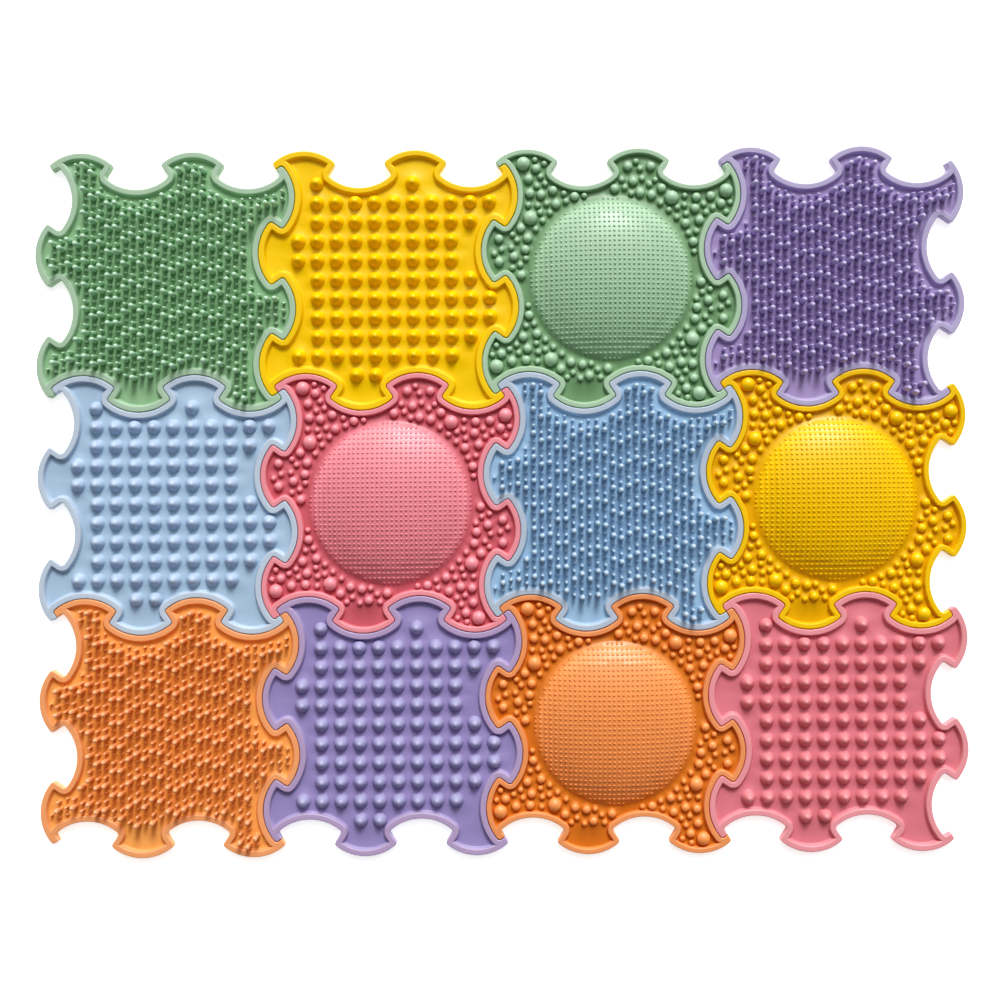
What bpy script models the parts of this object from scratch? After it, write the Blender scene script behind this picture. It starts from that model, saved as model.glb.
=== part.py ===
"""Interlocking massage floor mat: twelve puzzle tiles, four across and three deep.

Metres, +Z up. The mat lies on the plane Z = 0, its middle is at the origin and its long side runs along X.
Each tile is one soft moulding: a plate with a raised rim that carries studs, pins, or a hollow dome with
stones round it. All tiles have the same outline, so that any tile fits beside any other.
"""

import math

import bpy
import numpy as np
from mathutils import Vector
from mathutils.geometry import delaunay_2d_cdt

# The module and the joint line. Each side runs knob, notch, knob, notch, clockwise from its corner.
PITCH = 0.250  # from one tile's centre to the next
CURVES_PER_SIDE = 4
KNOB_REACH = 0.0208  # how far a knob stands out of the module square, and a notch goes in
KNOB_RADIUS = 0.0526
KNOB_OVERHANG = 0.0046  # how far a knob's two tips lean past its quarter of the side
ARC_STEPS = 4
JOINT_GAP = 0.0008  # clear space between two tiles

# Plate and rim
PLATE_TOP = 0.004
RIM_TOP = 0.009
RIM_WIDTH = 0.0058
RIM_SLOPE = 0.0024  # how much wider the rim is at its foot

# Studs: an 11 x 11 grid that stands a little to the right of the tile's centre
STUD_COUNT = 11
STUD_PITCH = 0.0215
STUD_SHIFT = 0.006
STUD_MARGIN = 0.0075  # a stud's centre is at least this far from the rim's foot
STUD_BASE_RADIUS = 0.0072
STUD_TIP_RADIUS = 0.0040
STUD_TOP = 0.015
STUD_SIDES = 6

# Pins: the tall ones that lead the pin field
PIN_COUNT = 11
PIN_PITCH = 0.0268
PIN_MARGIN = 0.005
PIN_BASE_RADIUS = 0.0030
PIN_TOP = 0.021
PIN_SIDES = 4

# Dome: a spherical shell, open below
DOME_RADIUS = 0.0925
DOME_TOP = 0.027
DOME_WALL = 0.004
DOME_SIDES = 20
DOME_RINGS = 4

# Stones of a dome tile's far left quarter; the other quarters repeat them, turned about the tile's centre
LARGE_RADIUS = 0.0077
LARGE_SIDES = 6
LARGE_STONES = [(-0.097, 0.128), (-0.090, 0.069)]
MEDIUM_RADIUS = 0.0052
MEDIUM_SIDES = 4
MEDIUM_STONES = [
    (-0.083, 0.124),
    (-0.092, 0.112),
    (-0.090, 0.096),
    (-0.078, 0.095),
    (-0.065, 0.100),
    (-0.040, 0.091),
    (-0.061, 0.084),
    (-0.101, 0.057),
    (-0.094, 0.046),
    (-0.096, 0.033),
    (-0.126, 0.046),
    (-0.109, 0.026),
    (-0.126, 0.020),
    (-0.101, 0.005),
]
STONE_TIP_SHARE = 0.5  # how wide a stone's flat top is beside its foot
QUARTER_TURNS = 4

# The bare knob on the near side of dome and pin tiles
BARE_KNOB_X = (-0.0625, 0.0)
BARE_KNOB_Y = -0.113

# The mat: the far row first, each row from left to right, as name, pattern and colour
LAYOUT = [
    [
        ("green_needle_tile", "pins", (0.12, 0.30, 0.14)),
        ("yellow_stud_tile", "studs", (0.95, 0.60, 0.01)),
        ("mint_dome_tile", "dome", (0.28, 0.53, 0.30)),
        ("purple_needle_tile", "pins", (0.24, 0.16, 0.42)),
    ],
    [
        ("sky_stud_tile", "studs", (0.43, 0.58, 0.78)),
        ("rose_dome_tile", "dome", (0.80, 0.18, 0.25)),
        ("blue_needle_tile", "pins", (0.22, 0.38, 0.62)),
        ("yellow_dome_tile", "dome", (0.95, 0.60, 0.01)),
    ],
    [
        ("orange_needle_tile", "pins", (0.85, 0.25, 0.06)),
        ("lilac_stud_tile", "studs", (0.33, 0.24, 0.55)),
        ("orange_dome_tile", "dome", (0.85, 0.27, 0.07)),
        ("pink_stud_tile", "studs", (0.75, 0.20, 0.29)),
    ],
]


def turned(points, quarter_turns):
    """The points turned clockwise about the origin."""
    angle = -quarter_turns * math.pi / 2
    turn = np.array([[math.cos(angle), math.sin(angle)], [-math.sin(angle), math.cos(angle)]])
    return np.array(points) @ turn


def side_outline():
    """One side from its corner, X along the side and Y outwards."""
    points = [(0.0, 0.0)]
    quarter = PITCH / CURVES_PER_SIDE
    half_angle = math.asin((quarter / 2 + KNOB_OVERHANG) / KNOB_RADIUS)
    for curve in range(CURVES_PER_SIDE):
        outwards = 1 if curve % 2 == 0 else -1
        middle = quarter * (curve + 0.5)
        for step in range(ARC_STEPS + 1):
            angle = half_angle * (2 * step / ARC_STEPS - 1)
            rise = KNOB_REACH - KNOB_RADIUS + KNOB_RADIUS * math.cos(angle)
            points.append((middle + KNOB_RADIUS * math.sin(angle), outwards * rise))
    return np.array(points)


def tile_outline():
    """The line shared with the neighbours, anticlockwise, about the tile's centre."""
    side = side_outline() + (-PITCH / 2, PITCH / 2)
    clockwise = np.concatenate([turned(side, turns) for turns in range(QUARTER_TURNS)])
    return clockwise[::-1]


def crossing(start, end, other_start, other_end):
    """Where two straight lines cross, or None."""
    along, other = end - start, other_end - other_start
    turn = along[0] * other[1] - along[1] * other[0]
    if turn == 0:
        return None
    apart = other_start - start
    share = (apart[0] * other[1] - apart[1] * other[0]) / turn
    other_share = (apart[0] * along[1] - apart[1] * along[0]) / turn
    return start + share * along if 0 < share < 1 and 0 < other_share < 1 else None


def trimmed(points, reach=4):
    """The outline with each small loop, where it crosses itself, cut off at the crossing."""
    for here in range(len(points)):
        turned_to_front = np.roll(points, -here, axis=0)
        for ahead in range(2, reach):
            place = crossing(*turned_to_front[:2], *turned_to_front[ahead : ahead + 2])
            if place is not None:
                rest = turned_to_front[ahead + 1 :]
                return trimmed(np.concatenate([turned_to_front[:1], place[None], rest]))
    return points


def inset(outline, distance):
    """An anticlockwise outline moved inwards. A side that shrinks to nothing on the way is dropped."""
    points = outline
    sides = np.roll(points, -1, axis=0) - points
    along = sides / np.linalg.norm(sides, axis=1)[:, None]
    inwards = np.stack([-along[:, 1], along[:, 0]], axis=1)
    while distance > 0:
        before = np.roll(inwards, 1, axis=0)
        drift = (before + inwards) / (1 + (before * inwards).sum(axis=1))[:, None]
        lengths = ((np.roll(points, -1, axis=0) - points) * along).sum(axis=1)
        closing = ((drift - np.roll(drift, -1, axis=0)) * along).sum(axis=1)
        lasting = np.full(len(points), np.inf)
        np.divide(lengths, closing, out=lasting, where=closing > 1e-9)
        shortest = lasting.argmin()
        step = min(distance, lasting[shortest])
        points = points + step * drift
        distance -= step
        if distance > 0:
            points = np.delete(points, shortest, axis=0)
            along = np.delete(along, shortest, axis=0)
            inwards = np.delete(inwards, shortest, axis=0)
    return trimmed(points)


def depth_inside(outline, place):
    """How far a place is inside the outline, or minus how far it is outside."""
    ends = np.roll(outline, -1, axis=0)
    sides = ends - outline
    share = ((place - outline) * sides).sum(axis=1) / (sides * sides).sum(axis=1)
    nearest = outline + np.clip(share, 0, 1)[:, None] * sides
    distance = np.linalg.norm(nearest - place, axis=1).min()
    crossed = (outline[:, 1] > place[1]) != (ends[:, 1] > place[1])
    at_x = outline[crossed, 0] + share_across(outline, ends, place, crossed)
    return distance if (at_x > place[0]).sum() % 2 == 1 else -distance


def share_across(starts, ends, place, crossed):
    """How far along X each crossed side has gone where it reaches the place's Y."""
    rise = ends[crossed, 1] - starts[crossed, 1]
    share = (place[1] - starts[crossed, 1]) / rise
    return share * (ends[crossed, 0] - starts[crossed, 0])


def level(points, height):
    """The plan points as a loop at one height."""
    return [(x, y, height) for x, y in points]


def ring(centre, radius, height, sides):
    """A round loop, or its centre alone where the radius is nothing."""
    if radius == 0:
        return [(centre[0], centre[1], height)]
    angles = [2 * math.pi * (side + 0.5) / sides for side in range(sides)]
    return [(centre[0] + radius * math.cos(a), centre[1] + radius * math.sin(a), height) for a in angles]


def surface(loops):
    """(points, triangles) of the one skin over all the loops. Triangles are anticlockwise from above."""
    points = []
    edges = []
    for loop in loops:
        first = len(points)
        points += loop
        if len(loop) > 1:
            edges += [(first + i, first + (i + 1) % len(loop)) for i in range(len(loop))]
    flat = [Vector(point[:2]) for point in points]
    inside_only = 1
    placed, _, triangles, sources, _, _ = delaunay_2d_cdt(flat, edges, [], inside_only, 1e-7)
    if len(placed) != len(points):
        raise ValueError("two loops cross or share a point")
    index = [source[0] for source in sources]
    found = [[index[corner] for corner in triangle] for triangle in triangles]
    return points, found


def moulding(name, upper_loops, lower_loops):
    """A closed mesh between two skins, whose first loops have the same plan and make the side wall."""
    upper, upper_triangles = surface(upper_loops)
    lower, lower_triangles = surface(lower_loops)
    start = len(upper)
    faces = list(upper_triangles)
    faces += [[start + corner for corner in reversed(triangle)] for triangle in lower_triangles]
    wall = len(upper_loops[0])
    for here in range(wall):
        there = (here + 1) % wall
        faces.append([start + here, start + there, there, here])
    mesh = bpy.data.meshes.new(name)
    mesh.from_pydata(upper + lower, [], faces)
    mesh.validate()
    return mesh


def frustum(centre, base_radius, tip_radius, top, sides):
    """The loops of one small boss that stands on the plate."""
    return [ring(centre, base_radius, PLATE_TOP, sides), ring(centre, tip_radius, top, sides)]


def rim_foot():
    """The plan line where the rim's inner slope meets the plate."""
    return inset(tile_outline(), JOINT_GAP / 2 + RIM_WIDTH + RIM_SLOPE)


def grid(count, pitch, shift, margin):
    """The places of a square grid that are inside the rim's foot by the margin."""
    outline = rim_foot()
    places = []
    for row in range(count):
        for column in range(count):
            x = shift + (column - (count - 1) / 2) * pitch
            y = (row - (count - 1) / 2) * pitch
            if depth_inside(outline, (x, y)) >= margin:
                places.append((x, y))
    return places


def in_bare_knob(place):
    return BARE_KNOB_X[0] < place[0] < BARE_KNOB_X[1] and place[1] < BARE_KNOB_Y


def stud_loops():
    loops = []
    for place in grid(STUD_COUNT, STUD_PITCH, STUD_SHIFT, STUD_MARGIN):
        loops += frustum(place, STUD_BASE_RADIUS, STUD_TIP_RADIUS, STUD_TOP, STUD_SIDES)
    return loops


def pin_loops():
    loops = []
    for place in grid(PIN_COUNT, PIN_PITCH, 0, PIN_MARGIN):
        if not in_bare_knob(place):
            loops += frustum(place, PIN_BASE_RADIUS, 0, PIN_TOP, PIN_SIDES)
    return loops


def cap_rings(base_radius, base_height, ball_radius, ball_height):
    """The loops of a ball's cap, from its base ring to its crown."""
    half_angle = math.asin(base_radius / ball_radius)
    loops = [ring((0, 0), base_radius, base_height, DOME_SIDES)]
    for step in range(1, DOME_RINGS):
        angle = half_angle * (1 - step / DOME_RINGS)
        height = ball_height + ball_radius * math.cos(angle)
        loops.append(ring((0, 0), ball_radius * math.sin(angle), height, DOME_SIDES))
    loops.append(ring((0, 0), 0, ball_height + ball_radius, DOME_SIDES))
    return loops


def dome_ball():
    """(radius, centre height) of the ball that the dome's outer face lies on."""
    rise = DOME_TOP - PLATE_TOP
    radius = (DOME_RADIUS**2 + rise**2) / (2 * rise)
    return radius, DOME_TOP - radius


def stone_loops(stones, radius, sides):
    """The loops of one size of stone, in all four quarters."""
    loops = []
    for turns in range(QUARTER_TURNS):
        for place in turned(stones, turns):
            if not in_bare_knob(place):
                loops += frustum(place, radius, STONE_TIP_SHARE * radius, PLATE_TOP + radius, sides)
    return loops


def dome_loops():
    ball_radius, ball_height = dome_ball()
    loops = cap_rings(DOME_RADIUS, PLATE_TOP, ball_radius, ball_height)
    loops += stone_loops(LARGE_STONES, LARGE_RADIUS, LARGE_SIDES)
    loops += stone_loops(MEDIUM_STONES, MEDIUM_RADIUS, MEDIUM_SIDES)
    return loops


def hollow_loops():
    ball_radius, ball_height = dome_ball()
    inner_radius = ball_radius - DOME_WALL
    mouth_radius = math.sqrt(inner_radius**2 - ball_height**2)
    return cap_rings(mouth_radius, 0, inner_radius, ball_height)


def tile_mesh(pattern):
    """A whole tile, about its own centre, resting on Z = 0."""
    outline = tile_outline()
    edge = inset(outline, JOINT_GAP / 2)
    rim_inner = inset(outline, JOINT_GAP / 2 + RIM_WIDTH)
    upper = [level(edge, RIM_TOP), level(rim_inner, RIM_TOP), level(rim_foot(), PLATE_TOP)]
    upper += {"studs": stud_loops, "pins": pin_loops, "dome": dome_loops}[pattern]()
    lower = [level(edge, 0)]
    if pattern == "dome":
        lower += hollow_loops()
    return moulding(f"{pattern}_tile", upper, lower)


def soft_vinyl(name, colour):
    material = bpy.data.materials.new(name)
    material.use_nodes = True
    shader = material.node_tree.nodes["Principled BSDF"]
    shader.inputs["Base Color"].default_value = (*colour, 1)
    shader.inputs["Roughness"].default_value = 0.45
    shader.inputs["Metallic"].default_value = 0
    material.diffuse_color = (*colour, 1)
    return material


def main():
    for old in list(bpy.data.objects):
        bpy.data.objects.remove(old, do_unlink=True)
    meshes = {pattern: tile_mesh(pattern) for pattern in ("studs", "pins", "dome")}
    for row, tiles in enumerate(LAYOUT):
        for column, (name, pattern, colour) in enumerate(tiles):
            mesh = meshes[pattern].copy()
            mesh.materials.append(soft_vinyl(name, colour))
            tile = bpy.data.objects.new(name, mesh)
            across = column - (len(tiles) - 1) / 2
            up = (len(LAYOUT) - 1) / 2 - row
            tile.location = (across * PITCH, up * PITCH, 0)
            bpy.context.scene.collection.objects.link(tile)


main()
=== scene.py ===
"""The look of the massage floor mat: twelve soft vinyl puzzle tiles laid out flat on a white floor.

Each of the three patterns (studs, pins, dome) is built once as a closed moulding about its own centre, and
every tile of the mat gets a copy of its pattern's mesh in a vinyl of its own colour. Metres, +Z up.
"""

import math
import bpy
import numpy as np
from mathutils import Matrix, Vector
from mathutils.geometry import delaunay_2d_cdt


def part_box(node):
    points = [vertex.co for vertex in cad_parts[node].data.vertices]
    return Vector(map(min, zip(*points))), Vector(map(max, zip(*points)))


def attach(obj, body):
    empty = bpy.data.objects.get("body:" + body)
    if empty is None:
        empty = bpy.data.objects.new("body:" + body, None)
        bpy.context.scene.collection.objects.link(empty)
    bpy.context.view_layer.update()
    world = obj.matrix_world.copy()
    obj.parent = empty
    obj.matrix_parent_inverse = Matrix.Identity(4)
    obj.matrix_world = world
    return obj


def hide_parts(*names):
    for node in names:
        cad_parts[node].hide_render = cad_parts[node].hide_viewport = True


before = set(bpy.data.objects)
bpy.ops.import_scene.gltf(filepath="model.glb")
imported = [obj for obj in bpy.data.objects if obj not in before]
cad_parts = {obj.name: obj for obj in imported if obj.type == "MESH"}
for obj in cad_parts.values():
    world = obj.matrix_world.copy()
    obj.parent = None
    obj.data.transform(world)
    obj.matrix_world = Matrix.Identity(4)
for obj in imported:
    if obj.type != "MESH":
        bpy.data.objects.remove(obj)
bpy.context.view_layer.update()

MM = 0.001

# The joint line, in millimetres. Each side runs knob, notch, knob, notch, clockwise from its corner.
PITCH = 250
CURVES_PER_SIDE = 4
KNOB_REACH = 20.8
KNOB_RADIUS = 52.6
KNOB_OVERHANG = 4.6
TIP_ROUNDING = 3.18  # how far from a tip its rounding starts, along the line
CORNER_ROUNDING = 0.8
ROUNDING_STEPS = 10
ROUNDING_HOLD = 0.62  # how near the handles of a rounding's curve come to its apex
ARC_STEPS = 24
LONGEST_STEP = 2.4
INSET_TOLERANCE = 0.0005
LONGEST_MITRE = 4.0  # no point is added where two stretches of an inset line would meet further out
PARALLEL = 1e-6
QUARTER_TURNS = 4

# Cross sections of the rim, as (distance from the joint line, height)
WALL = [(0.2, 0.0), (0.04, 0.2), (0.04, 0.7), (0.2, 3.0), (0.22, 7.4)]  # widest near its foot
OUTER_EDGE = [(0.26, 7.9), (0.38, 8.35), (0.62, 8.7), (0.98, 8.92), (1.4, 9.0), (2.0, 9.0)]
RIM = OUTER_EDGE + [
    (5.6, 9.0), (6.1, 8.97), (6.5, 8.75), (6.9, 8.15), (7.6, 6.3),
    (8.1, 5.1), (8.5, 4.4), (9.0, 4.08), (9.6, 4.0),
]
DOME_RIM = OUTER_EDGE + [
    (4.9, 9.0), (5.4, 8.97), (5.75, 8.75), (6.05, 8.15), (6.6, 6.3), (7.0, 5.1), (7.3, 4.4), (7.6, 4.0),
]
PLATE_TOP = 4.0
RIM_TOP = 9.0
RIM_COLOUR_TOP = 8.8  # from here up, an edge has the rim's full colour, paler than the plate as painted light
SHARP_ANGLE = math.radians(50)
SAME_POINT = 1e-6

# Studs
STUD_COUNT = 11
STUD_PITCH = 21.5
STUD_SHIFT = (6.2, 1.9)
STUD_MARGIN = 14.6
STUD = [
    (8.9, 4.0), (8.5, 4.2), (8.1, 4.9), (7.2, 6.9), (5.8, 9.5),
    (4.1, 12.2), (2.7, 14.0), (1.6, 14.8), (0.7, 15.1), (0, 15.2),
]
STUD_SIDES = 22
STUD_GAP = 0.15
STUD_FLARE = 1.5  # how fast a stud widens above a foot that the rim leaves little room for

# Pins: columns of tall, short and middling ones, each column at its own height
PIN_COLUMN_PITCH = 8.85
PIN_COLUMN_SHIFT = -0.6
PIN_CYCLE = 26.66
PIN_SHIFT = -1.1
PIN_MARGIN = 0.3
PIN_CYCLES = range(-7, 8)
TALL_PIN = [
    (3.7, 4.0), (3.3, 4.5), (3.1, 8.0), (2.95, 14.0), (2.85, 18.2), (2.4, 20.2), (1.4, 21.2), (0, 21.5),
]
MIDDLE_PIN = [(2.6, 4.0), (2.25, 4.4), (2.0, 8.0), (1.75, 13.4), (1.3, 15.4), (0, 16.2)]
SHORT_PIN = [(2.2, 4.0), (1.85, 4.3), (1.5, 7.0), (1.05, 9.6), (0, 10.2)]
# how far along its column from the tall pin, cross section and sides
PIN_KINDS = [(0.0, TALL_PIN, 12), (8.6, MIDDLE_PIN, 8), (-9.3, SHORT_PIN, 8)]
# where each column has a tall pin, from the leftmost column on
PIN_STARTS = [
    11.3, 17.8, 12.1, 21.4, 16.8, 24.8, 16.4, 18.4, 8.0, 8.5, 21.4, 0.4, 21.2, 3.3, 1.0, 16.5,
    13.3, 18.7, 23.0, 14.9, 18.8, 12.5, 15.0, 2.4, 7.4, 3.0, 12.4, 3.0, 6.9, 7.2, 12.4,
]

# Dome with its pimples
DOME_RADIUS = 92.5
DOME_RISE = 22.0
DOME_ROUNDNESS = 0.65  # share of its fall that grows with the radius squared; the rest is steeper
DOME_WALL = 4.0
DOME_SIDES = 144
DOME_FILLET = 0.4  # how far the dome's foot spreads past its edge
DOME_LIP = (0.3, 0.6)  # how far inside its edge the dome stands clear of the plate
DOME_LIP_RISE = 0.3
HOLLOW_RINGS = 16
HOLLOW_CHAMFER = 0.6
PIMPLE_PITCH = 5.315
PIMPLE_STRETCH = 9e-5  # how much further apart the pimples are towards the edge
PIMPLE_COUNT = 34
PIMPLE_LIMIT = 90.2
PIMPLE = [(1.5, 0.0), (1.2, 0.7), (0.75, 1.15), (0, 1.3)]
PIMPLE_SIDES = 8

# Stones of the far left quarter; the other quarters repeat them, turned about the tile's centre
LARGE_STONES = [(-97.6, 129.7), (-90.3, 68.7)]
MEDIUM_STONES = [
    (-83.4, 124.0), (-91.8, 112.4), (-90.6, 96.3), (-78.0, 94.7), (-64.6, 99.5),
    (-40.4, 92.6), (-61.4, 83.9), (-101.1, 57.4), (-93.5, 46.0), (-96.1, 33.2),
    (-125.6, 45.6), (-108.9, 25.5), (-125.6, 19.8), (-100.9, 4.7),
]
SMALL_STONES = [
    (-84.5, 134.2), (-74.0, 129.7), (-78.3, 114.9), (-82.6, 104.5), (-73.4, 107.1),
    (-52.3, 96.1), (-29.5, 93.4), (-50.1, 87.2), (-71.8, 84.7), (-92.4, 83.4),
    (-81.8, 82.8), (-79.2, 74.9), (-68.2, 74.4), (-76.5, 65.6), (-84.3, 56.1),
    (-110.5, 50.3), (-105.4, 43.9), (-111.9, 35.6), (-122.9, 33.5), (-131.2, 28.9),
    (-95.6, 23.4), (-102.1, 16.1), (-110.9, 12.9),
]
# places, radius, sides and rings
STONE_SIZES = [(LARGE_STONES, 8.0, 28, 7), (MEDIUM_STONES, 5.3, 20, 6), (SMALL_STONES, 3.5, 14, 5)]
STONE_FOOT = 0.35
STONE_LIFT = 0.9
STONE_FLATNESS = 0.9  # a stone's height as a share of its radius
STONE_FILLET_RISE = 0.3
STONE_GAPS = (0.25, 0.12, 0.5)  # to the next stone, to the rim and to the dome

# The bare knob on the near side of dome and pin tiles
BARE_KNOB_X = (-62.5, 0.0)
BARE_KNOB_Y = -113.0

# Tiles: node's first name, pattern, and the vinyl's colour at the plate, on the rim and on the tips; these
# three differ by painted light and shade, with painted shade on the plate and painted light on the rim and
# tips
TILES = {
    "green_needle": ("pins", (0.282, 0.458, 0.269), (0.393, 0.534, 0.389), (0.479, 0.679, 0.502)),
    "yellow_stud": ("studs", (0.870, 0.555, 0.003), (0.888, 0.566, 0.014), (0.960, 0.590, 0.006)),
    "mint_dome": ("dome", (0.196, 0.328, 0.181), (0.393, 0.549, 0.386), (0.357, 0.526, 0.356)),
    "purple_needle": ("pins", (0.369, 0.289, 0.506), (0.436, 0.389, 0.572), (0.536, 0.473, 0.700)),
    "sky_stud": ("studs", (0.393, 0.521, 0.668), (0.485, 0.560, 0.658), (0.451, 0.551, 0.714)),
    "rose_dome": ("dome", (0.586, 0.148, 0.179), (0.794, 0.301, 0.338), (0.768, 0.272, 0.308)),
    "blue_needle": ("pins", (0.343, 0.498, 0.675), (0.450, 0.516, 0.612), (0.486, 0.618, 0.740)),
    "yellow_dome": ("dome", (0.745, 0.400, 0.004), (0.851, 0.526, 0.014), (0.840, 0.505, 0.004)),
    "orange_needle": ("pins", (0.860, 0.385, 0.125), (0.826, 0.361, 0.173), (0.833, 0.398, 0.208)),
    "lilac_stud": ("studs", (0.319, 0.270, 0.489), (0.435, 0.336, 0.512), (0.379, 0.363, 0.556)),
    "orange_dome": ("dome", (0.641, 0.205, 0.034), (0.799, 0.316, 0.140), (0.799, 0.298, 0.107)),
    "pink_stud": ("studs", (0.685, 0.224, 0.261), (0.775, 0.319, 0.348), (0.737, 0.273, 0.295)),
}

# How much paler than the tips the vinyl is painted halfway up: a painted sheen on the dome tiles' stones
HALFWAY_SHEEN_GAINS = {"studs": 1.0, "pins": 1.0, "dome": 1.14}

# Painted light and shade: the vinyl's colour changes from the darker plate to the paler tips over these
# heights
PAINTED_SHADING_STOPS = (4.0, 8.8, 15.0)
COLOUR_REACH = 20.0
VINYL_IOR = 1.54
CLOUD_SCALE = 28.0
CLOUD_DETAIL = 3.0
CLOUD_ROUGHNESS = 0.55
CLOUD_RANGE = (0.93, 1.07)  # how much the colour brightens and darkens
PATCH_SCALE = 90.0
ROUGHNESS_RANGE = (0.32, 0.46)
GRAIN_SCALE = 1400.0
GRAIN_STRENGTH = 0.35
GRAIN_DEPTH = 0.06
FINE_DETAIL = 2.0  # of the patches of gloss and of the grain

# Floor
FLOOR_REACH = 40  # metres
FLOOR_DROP = 0.4  # millimetres below the mat
FLOOR_COLOUR = (0.9, 0.9, 0.9, 1)
FLOOR_ROUGHNESS = 0.9
FLOOR_GLOW = 0.62

# Light: the key light's height and turn towards +X in degrees, and the strengths of all that shines
KEY_HEIGHT = 37
KEY_SIDE = 8
KEY_STRENGTH = 2.6
KEY_SOFTNESS = math.radians(20)
GLOW_EDGE = 0.55  # cosine of the angle from the key light at which its glow ends
GLOW_STRENGTH = 1.4
SURROUND_STRENGTHS = (0.34, 0.06)  # low down, and overhead
FADE_START = 0.55  # how high the surrounding starts to darken, as the sine of its height

# How light comes out, as (light in the scene, light in the picture), between black and white
CONTRAST = [(0.03, 0.007), (0.1, 0.056), (0.5, 0.475)]
ALL_CHANNELS = 3

# Camera
CAMERA_LENS = 45
CAMERA_SENSOR = 36
CAMERA_REACH = 100
VIEW_WIDTH = 1.1202
VIEW_CENTRE = (-0.0022, 0.0024)
VIEW_ROLL = math.radians(-0.53)


def turned(points, quarter_turns):
    """The points turned clockwise about the origin."""
    angle = -quarter_turns * math.pi / 2
    turn = np.array([[math.cos(angle), math.sin(angle)], [-math.sin(angle), math.cos(angle)]])
    return np.array(points) @ turn


def side_outline():
    """(points, rounding of each) of one side from its corner, X along the side and Y outwards."""
    points = [(0.0, 0.0)]
    rounding = [CORNER_ROUNDING]
    quarter = PITCH / CURVES_PER_SIDE
    half_angle = math.asin((quarter / 2 + KNOB_OVERHANG) / KNOB_RADIUS)
    for curve in range(CURVES_PER_SIDE):
        outwards = 1 if curve % 2 == 0 else -1
        middle = quarter * (curve + 0.5)
        for step in range(ARC_STEPS + 1):
            angle = half_angle * (2 * step / ARC_STEPS - 1)
            rise = KNOB_REACH - KNOB_RADIUS + KNOB_RADIUS * math.cos(angle)
            points.append((middle + KNOB_RADIUS * math.sin(angle), outwards * rise))
            rounding.append(TIP_ROUNDING if step in (0, ARC_STEPS) else 0)
    return np.array(points), rounding


def place_along(points, start, direction, distance):
    """The place at a distance along a closed line from one of its points."""
    here = start
    while True:
        there = (here + direction) % len(points)
        length = np.linalg.norm(points[there] - points[here])
        if length >= distance:
            return points[here] + (points[there] - points[here]) * distance / length
        distance -= length
        here = there


def rounded(points, rounding):
    """A closed line with a curve in place of each point that has a rounding."""
    result = []
    gone = np.zeros(len(points), bool)
    curves = {}
    for index, reach in enumerate(rounding):
        if reach == 0:
            continue
        start = place_along(points, index, -1, reach)
        end = place_along(points, index, 1, reach)
        apex = points[index]
        for direction in (-1, 1):
            travelled, here = 0, index
            while True:
                there = (here + direction) % len(points)
                travelled += np.linalg.norm(points[there] - points[here])
                if travelled >= reach:
                    break
                gone[there] = True
                here = there
        share = np.linspace(0, 1, ROUNDING_STEPS + 1)[:, None]
        first = start + ROUNDING_HOLD * (apex - start)
        second = end + ROUNDING_HOLD * (apex - end)
        curves[index] = (
            (1 - share) ** 3 * start
            + 3 * (1 - share) ** 2 * share * first
            + 3 * (1 - share) * share**2 * second
            + share**3 * end
        )
    for index, point in enumerate(points):
        if index in curves:
            result += list(curves[index])
        elif not gone[index]:
            result.append(point)
    return np.array(result)


def stepped(points, longest):
    """A closed line with more points wherever two are further apart than the longest step."""
    result = []
    for here, there in zip(points, np.roll(points, -1, axis=0)):
        parts = math.ceil(np.linalg.norm(there - here) / longest)
        result += [here + (there - here) * part / parts for part in range(parts)]
    return np.array(result)


def tile_outline():
    """The line shared with the neighbours, anticlockwise, about the tile's centre."""
    side, rounding = side_outline()
    side = side + (-PITCH / 2, PITCH / 2)
    clockwise = np.concatenate([turned(side, turns) for turns in range(QUARTER_TURNS)])
    smooth = rounded(clockwise, rounding * QUARTER_TURNS)
    return stepped(smooth, LONGEST_STEP)[::-1]


def distances(outline, places):
    """How far each place is from a closed line."""
    sides = np.roll(outline, -1, axis=0) - outline
    offset = places[:, None, :] - outline[None, :, :]
    share = (offset * sides).sum(axis=2) / (sides * sides).sum(axis=1)
    nearest = outline + np.clip(share, 0, 1)[:, :, None] * sides
    return np.linalg.norm(nearest - places[:, None, :], axis=2).min(axis=1)


def inside(outline, places):
    """Which places are inside a closed line."""
    starts, ends = outline, np.roll(outline, -1, axis=0)
    x, y = places[:, :1], places[:, 1:]
    crossed = (starts[:, 1] > y) != (ends[:, 1] > y)
    rise = np.where(ends[:, 1] == starts[:, 1], 1, ends[:, 1] - starts[:, 1])
    at_x = starts[:, 0] + (y - starts[:, 1]) / rise * (ends[:, 0] - starts[:, 0])
    return (crossed & (at_x > x)).sum(axis=1) % 2 == 1


def depths(outline, places):
    """How far each place is inside a closed line, or minus how far it is outside."""
    away = distances(outline, places)
    return np.where(inside(outline, places), away, -away)


def crossing(start, along, other, other_along):
    """Where two lines cross, or None if they run the same way."""
    turn = along[0] * other_along[1] - along[1] * other_along[0]
    if abs(turn) < PARALLEL:
        return None
    apart = other - start
    return start + along * (apart[0] * other_along[1] - apart[1] * other_along[0]) / turn


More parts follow.
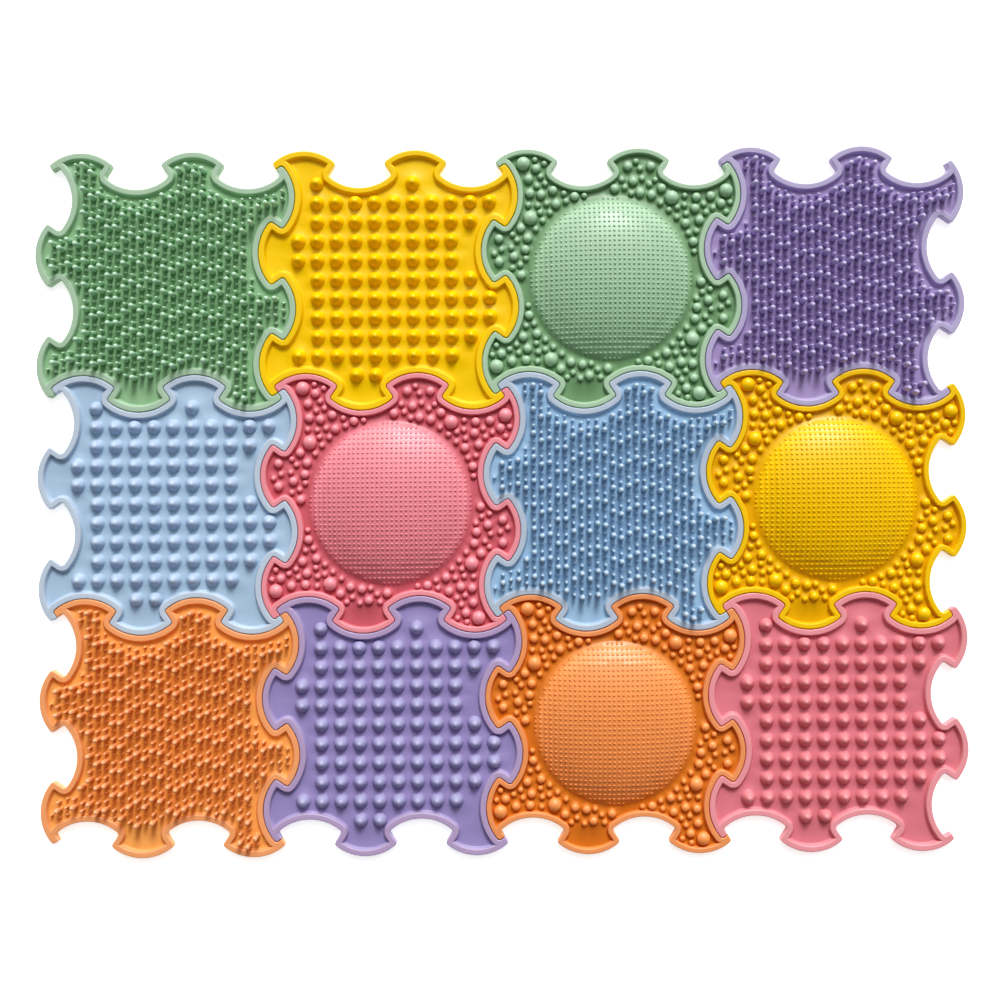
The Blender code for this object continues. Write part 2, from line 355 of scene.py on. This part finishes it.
def inset(outline, distance):
    """An anticlockwise outline moved inwards, without the stretches that fold over themselves."""
    if distance == 0:
        return outline
    sides = np.roll(outline, -1, axis=0) - outline
    along = sides / np.linalg.norm(sides, axis=1)[:, None]
    inwards = np.stack([-along[:, 1], along[:, 0]], axis=1)
    before = np.roll(inwards, 1, axis=0)
    moved = outline + distance * (before + inwards) / (1 + (before * inwards).sum(axis=1))[:, None]
    kept = distances(outline, moved) > distance - INSET_TOLERANCE
    first = int(np.flatnonzero(kept & np.roll(kept, 1))[0])
    moved, kept = np.roll(moved, -first, axis=0), np.roll(kept, -first)
    result = []
    places = list(np.flatnonzero(kept)) + [len(moved)]
    for here, there in zip(places[:-1], places[1:]):
        result.append(moved[here])
        if there - here > 1:
            ahead = moved[(there + 1) % len(moved)] - moved[there % len(moved)]
            meeting = crossing(moved[here], moved[here] - moved[here - 1], moved[there % len(moved)], ahead)
            if meeting is not None and np.linalg.norm(meeting - moved[here]) < LONGEST_MITRE:
                result.append(meeting)
    return np.array(result)


class Moulding:
    """The points and faces of one tile, gathered a patch at a time."""

    def __init__(self):
        self.points = []
        self.faces = []
        self.edge_points = 0  # how many of the first points are the outer wall's and the rim's

    def add_loop(self, flat, height):
        """The numbers of new points on a plan line, at one height or one height each."""
        start = len(self.points)
        heights = np.broadcast_to(height, len(flat))
        self.points += [(x, y, z) for (x, y), z in zip(flat, heights)]
        return list(range(start, len(self.points)))

    def fill(self, loops, holes=(), upwards=True):
        """Triangles between the first loop and all the others. A hole is a loop that stays open."""
        numbers = [number for loop in [*loops, *holes] for number in loop]
        edges = []
        first = 0
        for loop in [*loops, *holes]:
            if len(loop) > 1:
                edges += [(first + i, first + (i + 1) % len(loop)) for i in range(len(loop))]
            first += len(loop)
        flat = [Vector(self.points[number][:2]) for number in numbers]
        placed, _, triangles, sources, _, _ = delaunay_2d_cdt(flat, edges, [], 1, SAME_POINT)
        if len(placed) != len(flat):
            raise ValueError(f"{len(placed)} points placed for {len(flat)}: two loops cross or share a point")
        owner = {}
        for index, loop in enumerate(holes):
            for number in loop:
                owner[number] = index
        for triangle in triangles:
            corners = [numbers[sources[corner][0]] for corner in triangle]
            owners = {owner.get(corner, -1) for corner in corners}
            if len(owners) == 1 and -1 not in owners:
                continue
            self.faces.append(corners if upwards else corners[::-1])

    def band(self, lower, upper):
        """Four-sided faces between two loops with as many points each."""
        for i in range(len(lower)):
            j = (i + 1) % len(lower)
            self.faces.append([lower[i], lower[j], upper[j], upper[i]])

    def boss(self, centre, profile, sides, foot=None, lift=None):
        """A turned boss with a rounded tip. Returns its foot loop, or builds on a given one."""
        base = None
        below = foot
        for radius, height in profile:
            if radius == 0:
                tip = np.array([centre])
                tip_height = height if lift is None else lift(tip) + height
                (top,) = self.add_loop(tip, tip_height)
                for i in range(sides):
                    self.faces.append([below[i], below[(i + 1) % sides], top])
                break
            flat = centre + round_line(radius, sides)
            ring = self.add_loop(flat, height if lift is None else lift(flat) + height)
            if below is not None:
                self.band(below, ring)
            if base is None:
                base = ring
            below = ring
        return base

    def mesh(self, name):
        mesh = bpy.data.meshes.new(name)
        mesh.from_pydata((np.array(self.points) * MM).tolist(), [], self.faces)
        mesh.validate()
        mesh.polygons.foreach_set("use_smooth", [True] * len(mesh.polygons))
        mesh.set_sharp_from_angle(angle=SHARP_ANGLE)
        # The rim's mask, for its paler colour of painted light: from nothing at the plate to full at the
        # rim's colour top, on the wall and rim only
        heights = np.array(self.points)[:, 2]
        share = np.clip((heights - PLATE_TOP) / (RIM_COLOUR_TOP - PLATE_TOP), 0, 1)
        share[self.edge_points :] = 0
        mesh.attributes.new("rim", "FLOAT", "POINT").data.foreach_set("value", share)
        return mesh


def stud_feet(moulding, outline, rim_foot):
    """The foot loops of all the studs of a tile."""
    steps = (np.arange(STUD_COUNT) - (STUD_COUNT - 1) / 2) * STUD_PITCH
    places = np.array([(x, y) for y in steps for x in steps]) + STUD_SHIFT
    places = places[depths(outline, places) >= STUD_MARGIN]
    room = depths(rim_foot, places)
    feet = []
    for place, space in zip(places, room):
        foot = min(STUD[0][0], space - STUD_GAP)
        widest = [foot + STUD_FLARE * (height - PLATE_TOP) for _, height in STUD]
        profile = [(min(radius, limit), height) for (radius, height), limit in zip(STUD, widest)]
        feet.append(moulding.boss(place, profile, STUD_SIDES))
    return feet


def in_bare_knob(place):
    return BARE_KNOB_X[0] < place[0] < BARE_KNOB_X[1] and place[1] < BARE_KNOB_Y


def pin_feet(moulding, outline, rim_foot):
    """The foot loops of all the pins of a tile."""
    feet = []
    middle = len(PIN_STARTS) // 2
    for kind, (kind_start, _, _) in enumerate(PIN_KINDS):
        places = []
        for column, start in enumerate(PIN_STARTS):
            x = (column - middle) * PIN_COLUMN_PITCH + PIN_COLUMN_SHIFT
            places += [(x, start + kind_start + PIN_SHIFT + cycle * PIN_CYCLE) for cycle in PIN_CYCLES]
        places = np.array(places)
        for place, room in zip(places, depths(rim_foot, places)):
            # beside the rim, a smaller pin takes the place of one that has no room
            smaller = [(profile, sides) for _, profile, sides in PIN_KINDS[kind:]]
            fitting = [pin for pin in smaller if pin[0][0][0] + PIN_MARGIN <= room]
            if fitting and not in_bare_knob(place):
                feet.append(moulding.boss(place, *fitting[0]))
    return feet


def stone_profile(radius, foot, rings):
    """A ball's upper half on a foot, which is narrower than the ball where there is no room for more."""
    waist = min(foot, radius) + max(radius - foot, 0) / 2
    profile = [(foot, PLATE_TOP), (waist, PLATE_TOP + STONE_FILLET_RISE)]
    equator = PLATE_TOP + STONE_LIFT
    for step in range(rings):
        angle = math.pi / 2 * step / rings
        profile.append((radius * math.cos(angle), equator + STONE_FLATNESS * radius * math.sin(angle)))
    return profile + [(0, equator + STONE_FLATNESS * radius)]


def stone_places():
    """(place, radius, sides, rings) of every stone of a tile."""
    places = []
    for stones, radius, sides, rings in STONE_SIZES:
        for turns in range(QUARTER_TURNS):
            for place in turned(stones, turns):
                if not in_bare_knob(place):
                    places.append((place, radius, sides, rings))
    return places


def stone_feet(moulding, rim_foot):
    """The foot loops of the stones. Each foot is as wide as its neighbours, the rim and the dome allow."""
    stones = stone_places()
    stone_gap, rim_gap, dome_gap = STONE_GAPS
    feet = []
    for index, (place, radius, sides, rings) in enumerate(stones):
        gaps = [
            (np.linalg.norm(place - other[0]) - stone_gap) * radius / (radius + other[1])
            for number, other in enumerate(stones)
            if number != index
        ]
        room = min(
            min(gaps),
            depths(rim_foot, place[None])[0] - rim_gap,
            np.linalg.norm(place) - DOME_RADIUS - dome_gap,
        )
        foot = min(radius + STONE_FOOT, room)
        feet.append(moulding.boss(place, stone_profile(radius, foot, rings), sides))
    return feet


def dome_height(flat):
    """The height of the dome's outer face over plan points."""
    share = (np.asarray(flat) ** 2).sum(axis=1) / DOME_RADIUS**2
    return PLATE_TOP + DOME_RISE * (1 - DOME_ROUNDNESS * share - (1 - DOME_ROUNDNESS) * share**2)


def round_line(radius, sides):
    angles = 2 * np.pi * (np.arange(sides) + 0.5) / sides
    return radius * np.stack([np.cos(angles), np.sin(angles)], axis=1)


def dome(moulding):
    """The dome with its pimples. Returns its foot loop."""
    foot = moulding.add_loop(round_line(DOME_RADIUS + DOME_FILLET, DOME_SIDES), PLATE_TOP)
    below = foot
    for inwards in DOME_LIP:
        line = round_line(DOME_RADIUS - inwards, DOME_SIDES)
        ring = moulding.add_loop(line, dome_height(line) + DOME_LIP_RISE)
        moulding.band(below, ring)
        below = ring
    number = np.arange(PIMPLE_COUNT) - (PIMPLE_COUNT - 1) / 2
    steps = PIMPLE_PITCH * number * (1 + PIMPLE_STRETCH * number**2)
    places = np.array([(x, y) for y in steps for x in steps])
    places = places[np.linalg.norm(places, axis=1) < PIMPLE_LIMIT]
    feet = [moulding.boss(place, PIMPLE, PIMPLE_SIDES, lift=dome_height) for place in places]
    moulding.fill([below], feet)
    return foot


def hollow(moulding):
    """The hollow under the dome. Returns its mouth's loop on the underside."""
    mouth = DOME_RADIUS - DOME_WALL
    below = moulding.add_loop(round_line(mouth + HOLLOW_CHAMFER, DOME_SIDES), 0)
    first = below
    for step in range(HOLLOW_RINGS):
        line = round_line(mouth * math.cos(math.pi / 2 * step / HOLLOW_RINGS), DOME_SIDES)
        ring = moulding.add_loop(line, dome_height(line) - DOME_WALL)
        moulding.band(below, ring)
        below = ring
    (top,) = moulding.add_loop(np.zeros((1, 2)), dome_height(np.zeros((1, 2))) - DOME_WALL)
    for i in range(DOME_SIDES):
        moulding.faces.append([below[i], below[(i + 1) % DOME_SIDES], top])
    return first


def tile_mesh(pattern):
    """A whole tile about its own centre, resting on Z = 0."""
    outline = tile_outline()
    moulding = Moulding()
    wall = [moulding.add_loop(inset(outline, away), height) for away, height in WALL]
    for lower, upper in zip(wall[:-1], wall[1:]):
        if len(lower) == len(upper):
            moulding.band(lower, upper)
        else:
            moulding.fill([upper], [lower], upwards=False)
    section = DOME_RIM if pattern == "dome" else RIM
    rings = [inset(outline, away) for away, _ in section]
    rim = [moulding.add_loop(ring, height) for ring, (_, height) in zip(rings, section)]
    for outer, inner in zip([wall[-1]] + rim[:-1], rim):
        moulding.fill([outer], [inner])
    moulding.edge_points = len(moulding.points)
    if pattern == "studs":
        feet = stud_feet(moulding, outline, rings[-1])
    elif pattern == "pins":
        feet = pin_feet(moulding, outline, rings[-1])
    else:
        feet = stone_feet(moulding, rings[-1]) + [dome(moulding)]
    moulding.fill([rim[-1]], feet)
    moulding.fill([wall[0]], [hollow(moulding)] if pattern == "dome" else [], upwards=False)
    return moulding.mesh(f"{pattern}_moulding")


def linked(tree, kind, **inputs):
    """A new node with the given inputs: a socket links, anything else is a value."""
    node = tree.nodes.new(kind)
    for name, value in inputs.items():
        socket = node.inputs[name.replace("_", " ")]
        if isinstance(value, bpy.types.NodeSocket):
            tree.links.new(value, socket)
        else:
            socket.default_value = value
    return node


def carried(tree, value, source, target):
    """A node that carries a value over from one range to another."""
    low, high = source
    new_low, new_high = target
    return linked(
        tree, "ShaderNodeMapRange", Value=value, From_Min=low, From_Max=high, To_Min=new_low, To_Max=new_high
    )


def soft_vinyl(name, plate, rim, tip, halfway_sheen_gain):
    """Satin soft vinyl with painted light and shade: darker low down, paler where it stands higher, with the
    rim's own paler colour, a fine grain and faint clouds.
    """
    material = bpy.data.materials.new(name)
    material.use_nodes = True
    tree = material.node_tree
    shader = tree.nodes["Principled BSDF"]
    shader.inputs["Metallic"].default_value = 0
    shader.inputs["IOR"].default_value = VINYL_IOR
    place = tree.nodes.new("ShaderNodeTexCoord").outputs["Object"]
    apart = linked(tree, "ShaderNodeSeparateXYZ", Vector=place)
    height = carried(tree, apart.outputs["Z"], (0.0, COLOUR_REACH * MM), (0.0, 1.0))
    # Painted shade low down and painted light higher up, by height above the tile's underside
    shading_ramp = linked(tree, "ShaderNodeValToRGB", Fac=height.outputs["Result"])
    low, halfway, high = (stop / COLOUR_REACH for stop in PAINTED_SHADING_STOPS)
    stops = shading_ramp.color_ramp.elements
    stops[0].position, stops[0].color = low, (*plate, 1)
    stops[1].position, stops[1].color = halfway, (*(level * halfway_sheen_gain for level in tip), 1)
    stops.new(high).color = (*tip, 1)
    # The rim's paler colour, painted light, laid over by the rim's mask
    edge = tree.nodes.new("ShaderNodeAttribute")
    edge.attribute_name = "rim"
    base = linked(
        tree, "ShaderNodeMixRGB", Fac=edge.outputs["Fac"], Color1=shading_ramp.outputs["Color"], Color2=(*rim, 1)
    )
    clouds = linked(
        tree,
        "ShaderNodeTexNoise",
        Vector=place,
        Scale=CLOUD_SCALE,
        Detail=CLOUD_DETAIL,
        Roughness=CLOUD_ROUGHNESS,
    )
    brightness = carried(tree, clouds.outputs["Fac"], (0.0, 1.0), CLOUD_RANGE)
    colour = linked(
        tree, "ShaderNodeHueSaturation", Value=brightness.outputs["Result"], Color=base.outputs["Color"]
    )
    tree.links.new(colour.outputs["Color"], shader.inputs["Base Color"])
    patches = linked(tree, "ShaderNodeTexNoise", Vector=place, Scale=PATCH_SCALE, Detail=FINE_DETAIL)
    gloss = carried(tree, patches.outputs["Fac"], (0.0, 1.0), ROUGHNESS_RANGE)
    tree.links.new(gloss.outputs["Result"], shader.inputs["Roughness"])
    grain = linked(tree, "ShaderNodeTexNoise", Vector=place, Scale=GRAIN_SCALE, Detail=FINE_DETAIL)
    bump = linked(
        tree,
        "ShaderNodeBump",
        Height=grain.outputs["Fac"],
        Strength=GRAIN_STRENGTH,
        Distance=GRAIN_DEPTH * MM,
    )
    tree.links.new(bump.outputs["Normal"], shader.inputs["Normal"])
    return material


def white_floor():
    """A pale stage under the mat, as bright as a light table."""
    corners = [(x * FLOOR_REACH, y * FLOOR_REACH, 0) for x, y in ((-1, -1), (1, -1), (1, 1), (-1, 1))]
    mesh = bpy.data.meshes.new("white_floor")
    mesh.from_pydata(corners, [], [(0, 1, 2, 3)])
    material = bpy.data.materials.new("white_floor")
    material.use_nodes = True
    shader = material.node_tree.nodes["Principled BSDF"]
    shader.inputs["Base Color"].default_value = FLOOR_COLOUR
    shader.inputs["Roughness"].default_value = FLOOR_ROUGHNESS
    shader.inputs["Emission Color"].default_value = (1, 1, 1, 1)
    shader.inputs["Emission Strength"].default_value = FLOOR_GLOW
    mesh.materials.append(material)
    floor = bpy.data.objects.new("white_floor", mesh)
    floor.location.z = -FLOOR_DROP * MM
    bpy.context.scene.collection.objects.link(floor)


def light():
    """A soft key light from the far side with a glow round it, and a pale surrounding, darker overhead."""
    sun = bpy.data.lights.new("key", "SUN")
    sun.energy = KEY_STRENGTH
    sun.angle = KEY_SOFTNESS
    key = bpy.data.objects.new("key", sun)
    key.rotation_euler = (math.radians(KEY_HEIGHT - 90), 0, math.radians(-KEY_SIDE))
    bpy.context.scene.collection.objects.link(key)
    world = bpy.data.worlds.new("studio")
    world.use_nodes = True
    tree = world.node_tree
    background = tree.nodes["Background"]
    background.inputs["Color"].default_value = (1, 1, 1, 1)
    direction = tree.nodes.new("ShaderNodeTexCoord").outputs["Generated"]
    towards = linked(tree, "ShaderNodeVectorMath", Vector=direction)
    towards.operation = "DOT_PRODUCT"
    towards.inputs[1].default_value = key.rotation_euler.to_matrix() @ Vector((0, 0, 1))
    glow = carried(tree, towards.outputs["Value"], (GLOW_EDGE, 1.0), (0.0, GLOW_STRENGTH))
    glow.interpolation_type = "SMOOTHSTEP"
    apart = linked(tree, "ShaderNodeSeparateXYZ", Vector=direction)
    fade = carried(tree, apart.outputs["Z"], (FADE_START, 1.0), SURROUND_STRENGTHS)
    total = linked(tree, "ShaderNodeMath")
    total.operation = "ADD"
    tree.links.new(glow.outputs["Result"], total.inputs[0])
    tree.links.new(fade.outputs["Result"], total.inputs[1])
    tree.links.new(total.outputs["Value"], background.inputs["Strength"])
    bpy.context.scene.world = world


def camera(rim_height):
    """Straight down, and near enough for tall tips to lean away from the middle of the view."""
    lens = bpy.data.cameras.new("camera")
    lens.lens = CAMERA_LENS
    lens.sensor_width = CAMERA_SENSOR
    lens.clip_end = CAMERA_REACH
    eye = bpy.data.objects.new("camera", lens)
    eye.location = (*VIEW_CENTRE, rim_height + VIEW_WIDTH * CAMERA_LENS / CAMERA_SENSOR)
    eye.rotation_euler = (0, 0, VIEW_ROLL)
    bpy.context.scene.collection.objects.link(eye)
    bpy.context.scene.camera = eye


def grading():
    """A firm contrast: deep shadows and clear whites."""
    view = bpy.context.scene.view_settings
    view.view_transform = "Standard"
    view.use_curve_mapping = True
    curve = view.curve_mapping.curves[ALL_CHANNELS]
    for place, level in CONTRAST:
        curve.points.new(place, level)
    view.curve_mapping.update()


meshes = {pattern: tile_mesh(pattern) for pattern in ("studs", "pins", "dome")}
for name, (pattern, plate, rim, tip) in TILES.items():
    mesh = meshes[pattern].copy()
    mesh.name = f"{name}_moulding"
    mesh.materials.append(soft_vinyl(f"{name}_vinyl", plate, rim, tip, HALFWAY_SHEEN_GAINS[pattern]))
    piece = bpy.data.objects.new(f"{name}_moulding", mesh)
    low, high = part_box(f"{name}_tile")
    piece.location = ((low[0] + high[0]) / 2, (low[1] + high[1]) / 2, low[2])
    bpy.context.scene.collection.objects.link(piece)
    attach(piece, name)
    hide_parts(f"{name}_tile")

white_floor()
light()
camera(RIM_TOP * MM)
grading()
